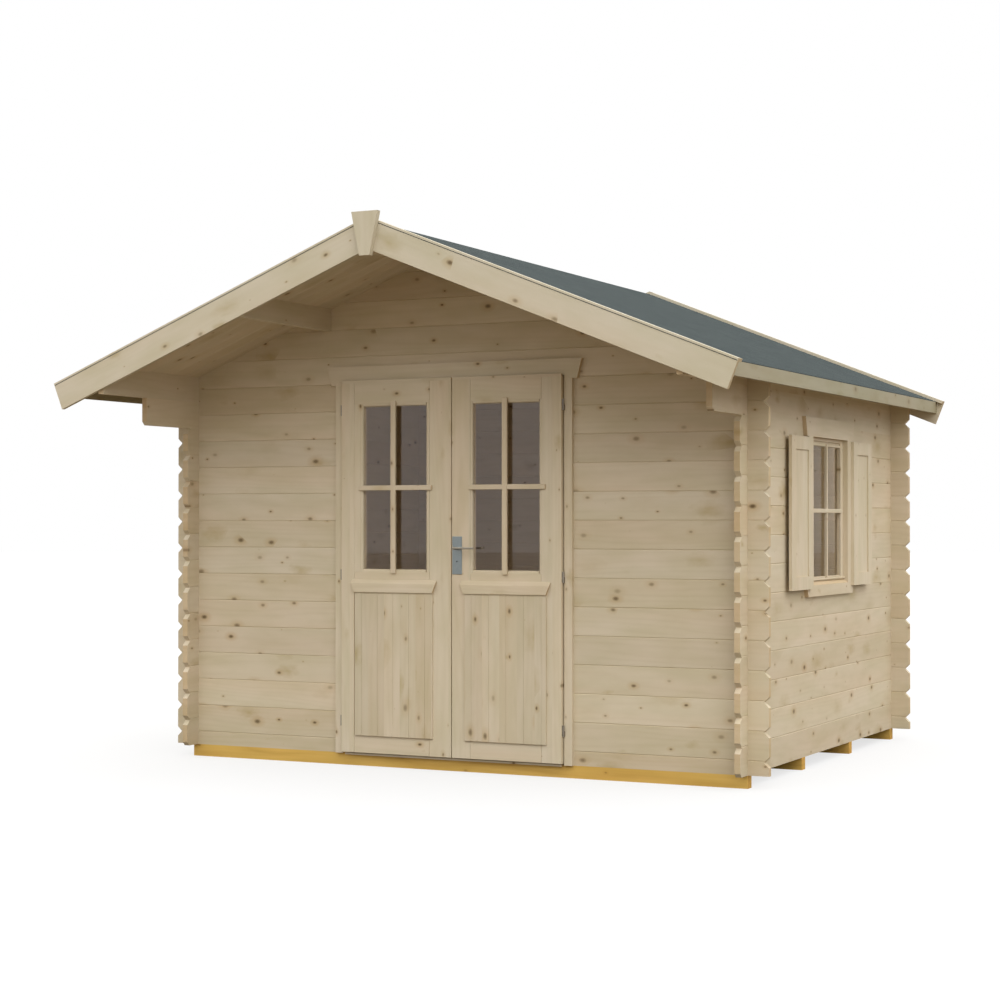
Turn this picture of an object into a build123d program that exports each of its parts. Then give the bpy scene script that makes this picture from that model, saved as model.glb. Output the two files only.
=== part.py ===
"""Garden log cabin: interlocking 28 mm wall logs, a deep front gable roof, a pair of
half-glazed doors and one shuttered side window.

X runs to the right along the front, Y runs to the back and Z up. The origin is on the
ground, in the middle of the whole footprint of the roof. All lengths are in millimetres.
"""
import os
from math import cos, radians, sin, sqrt, tan

from build123d import *

os.makedirs("parts", exist_ok=True)

# Walls
wall_width = 3000
wall_depth = 2390
log_thick = 28
log_cover = 135
log_bevel = 3
log_projection = 100
end_chamfer = 24
eaves_height = 1873
side_courses = 12
notch_drop = 6

# Bearers and floor
bearer_width = 50
bearer_height = 60
bearer_count = 4
floor_thick = 18
floor_gap = 4

# Roof
roof_pitch = 21.7
front_overhang = 800
rear_overhang = 150
eaves_overhang = 195
roof_board_thick = 18
felt_thick = 3
barge_depth = 120
barge_thick = 20
barge_tail = 52
cap_thick = 15
cap_width = 48
fascia_depth = 62
fascia_thick = 18
corbel_reach = 450
purlin_width = 40
purlin_sole = 2090
purlin_offset = 701
ridge_purlin_depth = 120
keystone_top_width = 134
keystone_foot_width = 53
keystone_height = 198
keystone_thick = 28
keystone_rise = 20

# Doorway and its frame
door_gap = 5
leaf_height = 1817
leaf_bottom = 8
leaf_thick = 40
leaf_proud = 40
doorway_half = 597
meeting_offset = 16
meeting_gap = 5
casing_thick = 20
casing_width = 40
jamb_thick = 15
stop_width = 15
stop_gap = 6
stop_rise = 14
header_height = 93
header_slant = 24
header_overlap = 26
header_drop = 15
threshold_lip = 6
threshold_thick = 3

# Door leaves
door_glass_width = 350
door_glass_height = 796
outer_stile_left = 122
outer_stile_right = 117
top_rail = 119
lock_rail = 70
glass_thick = 4
glass_edge = 10
panel_width = 432
panel_sill = 93
panel_proud = 10
drip_height = 44
drip_proud = 18
drip_width = 474
drip_slant = 20

# Hinges and handle
hinge_foot = 162
hinge_middle = 881
hinge_head_drop = 134
hinge_radius = 4.7
hinge_length = 52
hinge_offset = 5
hinge_depth = 30
pin_radius = 2.5
pin_length = 15
pin_clearance = 0.05
knuckle_gap = 0.5
plate_width = 52
plate_height = 182
plate_thick = 4
plate_sill = 889
plate_inset = 3.5
lever_height = 1015
lever_radius = 6
lever_length = 125
lever_standoff = 38
spindle_radius = 5
spindle_clearance = 0.5

# Window, its frame and its shutters
window_width = 573
window_height = 729
window_head_drop = 61
window_lining = 18
window_casing = 68
sash_thick = 24
sash_setback = 4
sash_stile = 46
sash_foot = 39
sash_head = 40
sill_slope_rise = 17
window_head_height = 95
window_head_overlap = 118
window_sill_height = 55
window_sill_overlap = 105
shutter_width = 326
shutter_head_drop = 6
shutter_foot_drop = 16
shutter_thick = 16
shutter_lap = 11
shutter_frame = 64
shutter_recess = 7

# Places worked out from the sizes above
front_reach = front_overhang + barge_thick + keystone_thick
rear_reach = rear_overhang + barge_thick
front_y = front_reach - (front_reach + wall_depth + rear_reach) / 2
rear_y = front_y + wall_depth
half_width = wall_width / 2
sole_z = bearer_height
slope = tan(radians(roof_pitch))
rake = cos(radians(roof_pitch))
eaves_z = sole_z + eaves_height
ridge_z = eaves_z + half_width * slope
side_top_z = sole_z + side_courses * log_cover
corbel_top_z = side_top_z + log_cover
deck_front_y = front_y - front_overhang
deck_rear_y = rear_y + rear_overhang
deck_length = deck_rear_y - deck_front_y
eaves_x = half_width + eaves_overhang
log_end_x = half_width + log_projection
roof_stack = roof_board_thick + felt_thick
door_half = doorway_half + door_gap
doorway_cut = door_half + jamb_thick
leaf_top = leaf_bottom + leaf_height
head_z = sole_z + leaf_top + door_gap
doorway_top_z = head_z + jamb_thick
header_bottom_z = head_z - header_drop
inner_y = front_y + log_thick
leaf_front_y = front_y - leaf_proud
leaf_back_y = leaf_front_y + leaf_thick
casing_y = front_y - casing_thick
window_y = (front_y + rear_y) / 2
window_top_z = side_top_z - window_head_drop
window_sill_z = window_top_z - window_height
shutter_top_z = window_top_z - shutter_head_drop
shutter_sill_z = window_sill_z - shutter_foot_drop


def roof_under(x, y_shift=0):
    """Height of the roof boards' underside at a distance x from the ridge line."""
    return ridge_z - abs(x) * slope + y_shift


def save(name, part):
    """Label one piece and write it under its own name."""
    part.label = name
    export_step(part, f"parts/{name}.step")


def log_joints(first, count):
    """Heights of the joints between the courses of one wall."""
    return [first + n * log_cover for n in range(count)]


def bevelled_courses(low, high, joints):
    """Cross-section of a stack of logs, with a small V along both faces at each joint."""
    with BuildSketch(mode=Mode.PRIVATE) as section:
        with Locations((log_thick / 2, (low + high) / 2)):
            Rectangle(log_thick, high - low)
        notches = [(side, z) for z in joints for side in (0, log_thick) if low < z < high]
        if notches:
            with Locations(*notches):
                Rectangle(log_bevel * sqrt(2), log_bevel * sqrt(2), rotation=45, mode=Mode.SUBTRACT)
    return section.sketch


def slope_prism(x_in, x_out, lift, depth):
    """Outline in XZ of a board that lies on one roof slope, lift above its underside."""
    low = lift / rake
    high = (lift + depth) / rake
    return [
        (x_in, roof_under(x_in) + low),
        (x_out, roof_under(x_out) + low),
        (x_out, roof_under(x_out) + high),
        (x_in, roof_under(x_in) + high),
    ]


courses_to_ridge = int((ridge_z - sole_z) / log_cover) + 1
front_joints = log_joints(sole_z + log_cover / 2, courses_to_ridge)
side_joints = log_joints(sole_z, courses_to_ridge)
roof_void = [
    (-2 * eaves_x, roof_under(2 * eaves_x)),
    (0, ridge_z),
    (2 * eaves_x, roof_under(2 * eaves_x)),
    (2 * eaves_x, 2 * ridge_z),
    (-2 * eaves_x, 2 * ridge_z),
]
purlin_places = {"ridge_purlin": 0, "purlin_left": -purlin_offset, "purlin_right": purlin_offset}


def cut_under_roof(y_low, y_high):
    """Trim what stands above the underside of the roof boards."""
    with BuildSketch(Plane.XZ.offset(-y_high)) as over_roof:
        Polygon(*roof_void, align=None)
    extrude(over_roof.sketch, amount=y_high - y_low, mode=Mode.SUBTRACT)


def cut_corner_bands(y, bands):
    """Notch a wall where the logs of the crossing wall pass through it."""
    xs = (-half_width + log_thick / 2, half_width - log_thick / 2)
    with Locations(*[(x, y, z) for x in xs for z in bands]):
        Box(log_thick, log_thick, log_cover / 2, mode=Mode.SUBTRACT)


def chamfer_front_ends(y):
    """Cut the V notches into the projecting ends of the front and rear logs."""
    with BuildSketch(Plane.XZ.offset(-y - log_thick)) as notches:
        with Locations(*[(side * log_end_x, z - notch_drop) for side in (-1, 1) for z in front_joints]):
            Rectangle(end_chamfer * sqrt(2), end_chamfer * sqrt(2), rotation=45)
    extrude(notches.sketch, amount=log_thick, mode=Mode.SUBTRACT)


def purlin_outline(x):
    """Outline in XZ of a purlin whose top follows the roof boards."""
    left = x - purlin_width / 2
    right = x + purlin_width / 2
    foot = ridge_z - ridge_purlin_depth if x == 0 else sole_z + purlin_sole
    points = [(left, foot), (right, foot), (right, roof_under(right))]
    if x == 0:
        points.append((0, ridge_z))
    points.append((left, roof_under(left)))
    return points


def cut_purlins(y_low, y_high):
    """Open the gable where the purlins lie in it."""
    with BuildSketch(Plane.XZ.offset(-y_high)) as purlin_ends:
        for x in purlin_places.values():
            Polygon(*purlin_outline(x), align=None)
    extrude(purlin_ends.sketch, amount=y_high - y_low, mode=Mode.SUBTRACT)


# Treated bearers, laid across the width and flush with the front and rear walls
bearer_pitch = (wall_depth - bearer_width) / (bearer_count - 1)
with BuildPart() as bearers:
    for number in range(bearer_count):
        with Locations((0, front_y + bearer_width / 2 + number * bearer_pitch, bearer_height / 2)):
            Box(wall_width, bearer_width, bearer_height)
save("bearers", bearers.part)

# Boarded floor on the bearers, inside the walls
with BuildPart() as floor:
    with Locations((0, (front_y + rear_y) / 2, sole_z + floor_thick / 2)):
        Box(
            wall_width - 2 * log_thick - 2 * floor_gap,
            wall_depth - 2 * log_thick - 2 * floor_gap,
            floor_thick,
        )
save("floor", floor.part)


def front_wall(x_low, x_high):
    """One side of the front wall, from the log ends to the doorway."""
    with BuildPart() as wall:
        with BuildSketch(Plane.YZ.offset(x_low)):
            with Locations((front_y, 0)):
                add(bevelled_courses(sole_z, header_bottom_z, front_joints))
        extrude(amount=x_high - x_low)
        cut_corner_bands(front_y + log_thick / 2, front_joints)
        chamfer_front_ends(front_y)
    return wall.part


save("front_wall_left", front_wall(-log_end_x, -doorway_cut))
save("front_wall_right", front_wall(doorway_cut, log_end_x))

# Gable logs over the doorway, up to the roof
with BuildPart() as front_gable:
    with BuildSketch(Plane.YZ.offset(-log_end_x)):
        with Locations((front_y, 0)):
            add(bevelled_courses(header_bottom_z, ridge_z, front_joints))
    extrude(amount=2 * log_end_x)
    cut_corner_bands(front_y + log_thick / 2, front_joints)
    chamfer_front_ends(front_y)
    cut_under_roof(front_y, inner_y)
    cut_purlins(front_y, inner_y)
    with Locations((0, front_y + log_thick / 2, (sole_z + doorway_top_z) / 2)):
        Box(2 * doorway_cut, log_thick, doorway_top_z - sole_z, mode=Mode.SUBTRACT)
save("front_gable", front_gable.part)

# Rear wall and gable in one stack
with BuildPart() as rear_wall:
    with BuildSketch(Plane.YZ.offset(-log_end_x)):
        with Locations((rear_y - log_thick, 0)):
            add(bevelled_courses(sole_z, ridge_z, front_joints))
    extrude(amount=2 * log_end_x)
    cut_corner_bands(rear_y - log_thick / 2, front_joints)
    chamfer_front_ends(rear_y - log_thick)
    cut_under_roof(rear_y - log_thick, rear_y)
    cut_purlins(rear_y - log_thick, rear_y)
save("rear_wall", rear_wall.part)


def side_logs(x, low, high, y_low, y_high, chamfers):
    """A stack of side wall logs; chamfers lists (y, z) of the joints with V notches at their ends."""
    with BuildPart() as wall:
        with BuildSketch(Plane.XZ.offset(-y_high)):
            with Locations((x, 0)):
                add(bevelled_courses(low, high, side_joints))
        extrude(amount=y_high - y_low)
        for y in (front_y + log_thick / 2, rear_y - log_thick / 2):
            cut_corner_bands(y, side_joints)
        with BuildSketch(Plane.YZ.offset(x)):
            with Locations(*[(end_y, z - notch_drop) for end_y, z in chamfers]):
                Rectangle(end_chamfer * sqrt(2), end_chamfer * sqrt(2), rotation=45)
        extrude(amount=log_thick, mode=Mode.SUBTRACT)
        cut_under_roof(y_low, y_high)
    return wall.part


log_end_front = front_y - log_projection
log_end_rear = rear_y + log_projection
side_notches = [(y, z) for y in (log_end_front, log_end_rear) for z in side_joints[: side_courses + 1]]
corbel_notches = [
    (front_y - corbel_reach, side_top_z),
    (log_end_rear, side_top_z),
    (log_end_rear, corbel_top_z),
]
top_log_notches = [(deck_rear_y, corbel_top_z)]
window_cut_width = window_width + 2 * window_lining
window_cut_height = window_height + 2 * window_lining
for side, x in (("left", -half_width), ("right", half_width - log_thick)):
    with BuildPart() as side_wall:
        add(side_logs(x, sole_z, side_top_z, log_end_front, log_end_rear, side_notches))
        if side == "right":
            with Locations((x + log_thick / 2, window_y, (window_sill_z + window_top_z) / 2)):
                Box(log_thick, window_cut_width, window_cut_height, mode=Mode.SUBTRACT)
    save(f"{side}_wall", side_wall.part)
    with BuildPart() as corbel_log:
        add(
            side_logs(
                x,
                side_top_z,
                corbel_top_z,
                front_y - corbel_reach,
                log_end_rear,
                corbel_notches,
            )
        )
    save(f"corbel_log_{side}", corbel_log.part)
    with BuildPart() as top_log:
        add(side_logs(x, corbel_top_z, ridge_z, deck_front_y, deck_rear_y, top_log_notches))
    save(f"top_log_{side}", top_log.part)

# Purlins that carry the roof boards from bargeboard to bargeboard
for name, x in purlin_places.items():
    with BuildPart() as purlin:
        with BuildSketch(Plane.XZ.offset(-deck_rear_y)):
            Polygon(*purlin_outline(x), align=None)
        extrude(amount=deck_length)
    save(name, purlin.part)


def on_both_slopes(name, x_in, x_out, lift, depth, y_low, y_high):
    """Two mirrored boards, one on each slope of the roof."""
    for side, hand in (("left", -1), ("right", 1)):
        outline = [(hand * x, z) for x, z in slope_prism(x_in, x_out, lift, depth)]
        with BuildPart() as board:
            with BuildSketch(Plane.XZ.offset(-y_high)):
                Polygon(*outline, align=None)
            extrude(amount=y_high - y_low)
        save(f"{name}_{side}", board.part)


on_both_slopes("roof_boards", 0, eaves_x, 0, roof_board_thick, deck_front_y, deck_rear_y)

# Roofing felt over the boards and the top edge of the fascia
on_both_slopes(
    "roof_felt", 0, eaves_x + fascia_thick, roof_board_thick, felt_thick, deck_front_y, deck_rear_y
)

# Fascia boards along the eaves, nailed to the ends of the roof boards
for side, hand in (("left", -1), ("right", 1)):
    outer_x = eaves_x + fascia_thick
    top_in = roof_under(eaves_x) + roof_board_thick / rake
    top_out = roof_under(outer_x) + roof_board_thick / rake
    board = [
        (eaves_x, top_out - fascia_depth),
        (outer_x, top_out - fascia_depth),
        (outer_x, top_out),
        (eaves_x, top_in),
    ]
    with BuildPart() as fascia:
        with BuildSketch(Plane.XZ.offset(-deck_rear_y)):
            Polygon(*[(hand * x, z) for x, z in board], align=None)
        extrude(amount=deck_length)
    save(f"fascia_{side}", fascia.part)


def bargeboard(hand, y_low, cap_low):
    """Gable board square-cut at its tail, with the flat cap strip on its top edge."""
    tail_x = eaves_x + barge_tail
    drop = barge_depth - roof_stack
    top = roof_stack / rake
    foot_x = tail_x - barge_depth * sin(radians(roof_pitch))
    board = [
        (0, ridge_z - drop / rake),
        (foot_x, roof_under(foot_x) - drop / rake),
        (tail_x, roof_under(tail_x) + top),
        (0, ridge_z + top),
    ]
    cap_x = tail_x + cap_thick * sin(radians(roof_pitch))
    cap = [
        (0, ridge_z + top),
        (tail_x, roof_under(tail_x) + top),
        (cap_x, roof_under(cap_x) + top + cap_thick / rake),
        (0, ridge_z + top + cap_thick / rake),
    ]
    with BuildPart() as built:
        with BuildSketch(Plane.XZ.offset(-y_low - barge_thick)):
            Polygon(*[(hand * x, z) for x, z in board], align=None)
        extrude(amount=barge_thick)
        with BuildSketch(Plane.XZ.offset(-cap_low - cap_width)):
            Polygon(*[(hand * x, z) for x, z in cap], align=None)
        extrude(amount=cap_width)
    return built.part


barge_front_y = deck_front_y - barge_thick
for side, hand in (("left", -1), ("right", 1)):
    save(f"bargeboard_front_{side}", bargeboard(hand, barge_front_y, barge_front_y))
    rear_cap_y = deck_rear_y + barge_thick - cap_width
    save(f"bargeboard_rear_{side}", bargeboard(hand, deck_rear_y, rear_cap_y))

# Keystone board over the front joint of the bargeboards
keystone_top_z = ridge_z + (roof_stack + cap_thick) / rake + keystone_rise
keystone_outline = [
    (-keystone_top_width / 2, keystone_top_z),
    (keystone_top_width / 2, keystone_top_z),
    (keystone_foot_width / 2, keystone_top_z - keystone_height),
    (-keystone_foot_width / 2, keystone_top_z - keystone_height),
]
with BuildPart() as keystone:
    with BuildSketch(Plane.XZ.offset(-barge_front_y)):
        Polygon(*keystone_outline, align=None)
    extrude(amount=keystone_thick)
save("keystone", keystone.part)

# Door jambs: outer casing, lining and inner casing slotted over the cut log ends, with a stop
jamb_outer = door_half + casing_width
stop_y = leaf_back_y + stop_gap
inner_casing_y = inner_y + casing_thick
for side, hand in (("left", -1), ("right", 1)):
    plan = [
        (jamb_outer, casing_y),
        (door_half, casing_y),
        (door_half, stop_y),
        (door_half - stop_width, stop_y),
        (door_half - stop_width, inner_casing_y),
        (jamb_outer, inner_casing_y),
        (jamb_outer, inner_y),
        (doorway_cut, inner_y),
        (doorway_cut, front_y),
        (jamb_outer, front_y),
    ]
    with BuildPart() as jamb:
        with BuildSketch(Plane.XY.offset(sole_z)):
            Polygon(*[(hand * x, y) for x, y in plan], align=None)
        extrude(amount=header_bottom_z - sole_z)
        with Locations((hand * door_half, (inner_y + inner_casing_y) / 2, sole_z + floor_thick / 2)):
            Box(4 * casing_width, casing_thick, floor_thick, mode=Mode.SUBTRACT)
    save(f"door_jamb_{side}", jamb.part)

# Head of the door frame, with its stop and inner casing
head_section = [
    (front_y, doorway_top_z),
    (front_y, head_z),
    (stop_y, head_z),
    (stop_y, header_bottom_z),
    (inner_casing_y, header_bottom_z),
    (inner_casing_y, header_bottom_z + header_height),
    (inner_y, header_bottom_z + header_height),
    (inner_y, doorway_top_z),
]
with BuildPart() as door_head:
    with BuildSketch(Plane.YZ.offset(-doorway_cut)):
        Polygon(*head_section, align=None)
    extrude(amount=2 * doorway_cut)
save("door_head", door_head.part)

# Threshold under both leaves, with a lip over the bearer and a stop behind them
threshold_section = [
    (casing_y, sole_z - threshold_lip),
    (front_y, sole_z - threshold_lip),
    (front_y, sole_z),
    (inner_y, sole_z),
    (inner_y, sole_z + leaf_bottom + stop_rise),
    (stop_y, sole_z + leaf_bottom + stop_rise),
    (stop_y, sole_z + threshold_thick),
    (casing_y, sole_z + threshold_thick),
]
with BuildPart() as door_threshold:
    with BuildSketch(Plane.YZ.offset(-door_half + stop_width)):
        Polygon(*threshold_section, align=None)
    extrude(amount=2 * (door_half - stop_width))
save("door_threshold", door_threshold.part)

# Header board over the doors, with slanted ends and a notch for the leaves
header_top_half = jamb_outer + header_overlap + header_slant
header_outline = [
    (-jamb_outer - header_overlap, header_bottom_z),
    (-door_half, header_bottom_z),
    (-door_half, head_z),
    (door_half, head_z),
    (door_half, header_bottom_z),
    (jamb_outer + header_overlap, header_bottom_z),
    (header_top_half, header_bottom_z + header_height),
    (-header_top_half, header_bottom_z + header_height),
]
with BuildPart() as door_header:
    with BuildSketch(Plane.XZ.offset(-front_y)):
        Polygon(*header_outline, align=None)
    extrude(amount=casing_thick)
save("door_header", door_header.part)

# Door leaves: stiles and rails round the glass, a raised boarded panel and a drip board
leaf_spans = {
    "left": (-doorway_half, meeting_offset - meeting_gap / 2),
    "right": (meeting_offset + meeting_gap / 2, doorway_half),
}
leaf_middles = {
    "left": -doorway_half + outer_stile_left + door_glass_width / 2,
    "right": doorway_half - outer_stile_right - door_glass_width / 2,
}
pane_width = door_glass_width + 2 * glass_edge
pane_height = door_glass_height + 2 * glass_edge
leaf_foot_z = sole_z + leaf_bottom
leaf_top_z = sole_z + leaf_top
leaf_mid_z = (leaf_foot_z + leaf_top_z) / 2
leaf_mid_y = (leaf_front_y + leaf_back_y) / 2
pane_sill_z = leaf_top_z - top_rail - door_glass_height
pane_mid_z = pane_sill_z + door_glass_height / 2
drip_z = pane_sill_z - lock_rail - drip_height
panel_foot_z = sole_z + panel_sill
panel_mid_z = (panel_foot_z + drip_z) / 2
plate_x = meeting_offset + meeting_gap / 2 + plate_inset + plate_width / 2
lever_z = sole_z + lever_height
for side, (x_low, x_high) in leaf_spans.items():
    middle = leaf_middles[side]
    drip_outline = [
        (middle - drip_width / 2, drip_z + drip_height),
        (middle + drip_width / 2, drip_z + drip_height),
        (middle + drip_width / 2 - drip_slant, drip_z),
        (middle - drip_width / 2 + drip_slant, drip_z),
    ]
    with BuildPart() as leaf:
        with Locations(((x_low + x_high) / 2, leaf_mid_y, leaf_mid_z)):
            Box(x_high - x_low, leaf_thick, leaf_height)
        with Locations((middle, leaf_mid_y, pane_mid_z)):
            Box(door_glass_width, leaf_thick, door_glass_height, mode=Mode.SUBTRACT)
            Box(pane_width, glass_thick, pane_height, mode=Mode.SUBTRACT)
        with Locations((middle, leaf_front_y - panel_proud / 2, panel_mid_z)):
            Box(panel_width, panel_proud, drip_z - panel_foot_z)
        with BuildSketch(Plane.XZ.offset(-leaf_front_y)):
            Polygon(*drip_outline, align=None)
        extrude(amount=drip_proud)
        if side == "right":
            with Locations((plate_x, leaf_mid_y, lever_z)):
                Cylinder(
                    spindle_radius + spindle_clearance,
                    leaf_thick,
                    rotation=(90, 0, 0),
                    mode=Mode.SUBTRACT,
                )
    save(f"door_{side}_leaf", leaf.part)
    with BuildPart() as pane:
        with Locations((middle, leaf_mid_y, pane_mid_z)):
            Box(pane_width, glass_thick, pane_height)
    save(f"door_{side}_glass", pane.part)

# Hinges: the knuckle with the pin on the frame, the bored knuckle on the leaf
hinge_x = doorway_half + hinge_offset
hinge_y = front_y - hinge_depth
knuckle = (hinge_length - knuckle_gap) / 2
hinge_heights = (hinge_foot, hinge_middle, leaf_top - hinge_head_drop)
hinge_bases = [sole_z + height - hinge_length / 2 for height in hinge_heights]
knuckle_align = (Align.CENTER, Align.CENTER, Align.MIN)
with BuildPart() as hinge_pins:
    for hand in (-1, 1):
        for base in hinge_bases:
            with Locations((hand * hinge_x, hinge_y, base)):
                Cylinder(hinge_radius, knuckle, align=knuckle_align)
                Cylinder(pin_radius, knuckle + pin_length, align=knuckle_align)
            with Locations((hand * (hinge_x + hinge_radius / 2), (hinge_y + casing_y) / 2, base)):
                Box(hinge_radius, casing_y - hinge_y, knuckle, align=knuckle_align)
save("hinge_pins", hinge_pins.part)
for side, hand in (("left", -1), ("right", 1)):
    with BuildPart() as hinges:
        for base in hinge_bases:
            knuckle_base = base + knuckle + knuckle_gap
            with Locations((hand * hinge_x, hinge_y, knuckle_base)):
                Cylinder(hinge_radius, knuckle, align=knuckle_align)
            with Locations((hand * (hinge_x - hinge_offset / 2), hinge_y, knuckle_base)):
                Box(hinge_offset, hinge_radius, knuckle, align=knuckle_align)
            with Locations((hand * hinge_x, hinge_y, knuckle_base)):
                Cylinder(
                    pin_radius + pin_clearance,
                    pin_length,
                    align=knuckle_align,
                    mode=Mode.SUBTRACT,
                )
    save(f"door_{side}_hinges", hinges.part)

# Handle plates on both faces of the right leaf
plate_mid_z = sole_z + plate_sill + plate_height / 2
with BuildPart() as handle_plates:
    for y in (leaf_front_y - plate_thick / 2, leaf_back_y + plate_thick / 2):
        with Locations((plate_x, y, plate_mid_z)):
            Box(plate_width, plate_thick, plate_height)
    with Locations((plate_x, leaf_mid_y, lever_z)):
        Cylinder(
            spindle_radius + spindle_clearance,
            leaf_thick + 2 * plate_thick,
            rotation=(90, 0, 0),
            mode=Mode.SUBTRACT,
        )
save("handle_plates", handle_plates.part)

# Lever handles on both faces, joined by the spindle through the leaf
lever_front_y = leaf_front_y - plate_thick - lever_standoff
lever_back_y = leaf_back_y + plate_thick + lever_standoff
with BuildPart() as handle_lever:
    with Locations((plate_x, leaf_mid_y, lever_z)):
        Cylinder(spindle_radius, lever_back_y - lever_front_y, rotation=(90, 0, 0))
    for y in (lever_front_y, lever_back_y):
        with Locations((plate_x, y, lever_z)):
            Sphere(lever_radius)
        with Locations((plate_x + lever_length / 2, y, lever_z)):
            Cylinder(lever_radius, lever_length, rotation=(0, 90, 0))
save("handle_lever", handle_lever.part)

# Window frame: outer casing, lining through the wall, sloping sill and inner casing
window_mid_z = (window_sill_z + window_top_z) / 2
window_outer_x = half_width + casing_thick
window_inner_x = half_width - log_thick - casing_thick
casing_span = window_width + 2 * window_casing
sash_front_x = half_width - sash_setback
with BuildPart() as window_frame:
    with Locations((half_width + casing_thick / 2, window_y, window_mid_z)):
        Box(casing_thick, casing_span, window_height)
    with Locations((half_width - log_thick / 2, window_y, window_mid_z)):
        Box(log_thick, window_cut_width, window_cut_height)
    with Locations((window_inner_x + casing_thick / 2, window_y, window_mid_z)):
        Box(casing_thick, casing_span, window_height + 2 * window_casing)
    with Locations(((window_inner_x + window_outer_x) / 2, window_y, window_mid_z)):
        Box(window_outer_x - window_inner_x, window_width, window_height, mode=Mode.SUBTRACT)
    with BuildSketch(Plane.XZ.offset(-window_y - window_width / 2)):
        Polygon(
            (sash_front_x, window_sill_z),
            (window_outer_x, window_sill_z),
            (sash_front_x, window_sill_z + sill_slope_rise),
            align=None,
        )
    extrude(amount=window_width)
save("window_frame", window_frame.part)

# Sash with a groove for the pane
glass_y_width = window_width - 2 * sash_stile
glass_z_height = window_height - sash_foot - sash_head
glass_mid_z = window_sill_z + sash_foot + glass_z_height / 2
sash_mid_x = sash_front_x - sash_thick / 2
with BuildPart() as window_sash:
    with Locations((sash_mid_x, window_y, window_mid_z)):
        Box(sash_thick, window_width, window_height)
    with Locations((sash_mid_x, window_y, glass_mid_z)):
        Box(sash_thick, glass_y_width, glass_z_height, mode=Mode.SUBTRACT)
        Box(
            glass_thick,
            glass_y_width + 2 * glass_edge,
            glass_z_height + 2 * glass_edge,
            mode=Mode.SUBTRACT,
        )
save("window_sash", window_sash.part)
with BuildPart() as window_glass:
    with Locations((sash_mid_x, window_y, glass_mid_z)):
        Box(glass_thick, glass_y_width + 2 * glass_edge, glass_z_height + 2 * glass_edge)
save("window_glass", window_glass.part)

# Header and sill boards with slanted ends, outside the window
head_half = window_width / 2 + window_head_overlap
sill_half = window_width / 2 + window_sill_overlap
window_boards = [
    [
        (-head_half, window_top_z + window_head_height),
        (head_half, window_top_z + window_head_height),
        (head_half - header_slant, window_top_z),
        (-head_half + header_slant, window_top_z),
    ],
    [
        (-sill_half, window_sill_z),
        (sill_half, window_sill_z),
        (sill_half - header_slant, window_sill_z - window_sill_height),
        (-sill_half + header_slant, window_sill_z - window_sill_height),
    ],
]
with BuildPart() as window_trim:
    with BuildSketch(Plane.YZ.offset(half_width)):
        for outline in window_boards:
            Polygon(*[(window_y + y, z) for y, z in outline], align=None)
    extrude(amount=casing_thick)
save("window_trim", window_trim.part)

# Shutters laid over the window casing, each with one sunk panel
shutter_mid_z = (shutter_sill_z + shutter_top_z) / 2
shutter_height = shutter_top_z - shutter_sill_z
shutter_y = window_width / 2 + window_casing - shutter_lap + shutter_width / 2
shutter_face_x = window_outer_x + shutter_thick
with BuildPart() as shutters:
    for hand in (-1, 1):
        with Locations((window_outer_x + shutter_thick / 2, window_y + hand * shutter_y, shutter_mid_z)):
            Box(shutter_thick, shutter_width, shutter_height)
        with Locations((shutter_face_x - shutter_recess / 2, window_y + hand * shutter_y, shutter_mid_z)):
            Box(
                shutter_recess,
                shutter_width - 2 * shutter_frame,
                shutter_height - 2 * shutter_frame,
                mode=Mode.SUBTRACT,
            )
save("shutters", shutters.part)
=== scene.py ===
import bpy
import bmesh
from math import cos, radians, tan
from mathutils import Matrix, Vector


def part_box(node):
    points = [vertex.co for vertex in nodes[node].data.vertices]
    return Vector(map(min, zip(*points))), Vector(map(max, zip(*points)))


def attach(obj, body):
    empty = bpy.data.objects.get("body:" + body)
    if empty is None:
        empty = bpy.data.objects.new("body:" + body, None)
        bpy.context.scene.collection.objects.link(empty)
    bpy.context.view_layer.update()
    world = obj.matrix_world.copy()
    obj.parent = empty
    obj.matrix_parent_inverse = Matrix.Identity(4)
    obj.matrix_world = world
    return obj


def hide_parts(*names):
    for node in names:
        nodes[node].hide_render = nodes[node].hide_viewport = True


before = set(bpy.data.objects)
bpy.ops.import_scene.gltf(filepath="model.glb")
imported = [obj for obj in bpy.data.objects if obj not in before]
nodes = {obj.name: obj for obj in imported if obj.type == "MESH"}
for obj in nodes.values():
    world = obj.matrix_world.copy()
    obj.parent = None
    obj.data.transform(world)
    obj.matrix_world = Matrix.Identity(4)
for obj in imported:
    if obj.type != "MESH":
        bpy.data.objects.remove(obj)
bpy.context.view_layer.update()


# Viewpoint: eye height of a standing person, some ten metres off the front right
# corner, with a long lens, so that eaves and log ends keep nearly parallel lines.
eye_place = (4.5956, -9.6120, 1.1988)
eye_lift, eye_turn = 90.624, 26.360
camera_data = bpy.data.cameras.new("viewpoint")
camera_data.lens = 73.735
camera_data.sensor_width = 36.0
camera = bpy.data.objects.new("viewpoint", camera_data)
camera.location = eye_place
camera.rotation_euler = (radians(eye_lift), 0.0, radians(eye_turn))
bpy.context.scene.collection.objects.link(camera)
bpy.context.scene.camera = camera
bpy.context.scene.view_settings.view_transform = "Standard"


# Ground and sky: a level pale ground under an even, overcast sky that is brightest
# overhead. Both turn white where the eye meets them, and the ground keeps the soft
# shadow. Two faint lamps indoors stand for the daylight that the panes let in.
def add_node(tree, kind, **values):
    made = tree.nodes.new(kind)
    for key, value in values.items():
        if key.startswith("in_"):
            made.inputs[int(key[3:])].default_value = value
        else:
            setattr(made, key, value)
    return made


def clear_tree(owner):
    owner.use_nodes = True
    owner.node_tree.nodes.clear()
    return owner.node_tree


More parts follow.
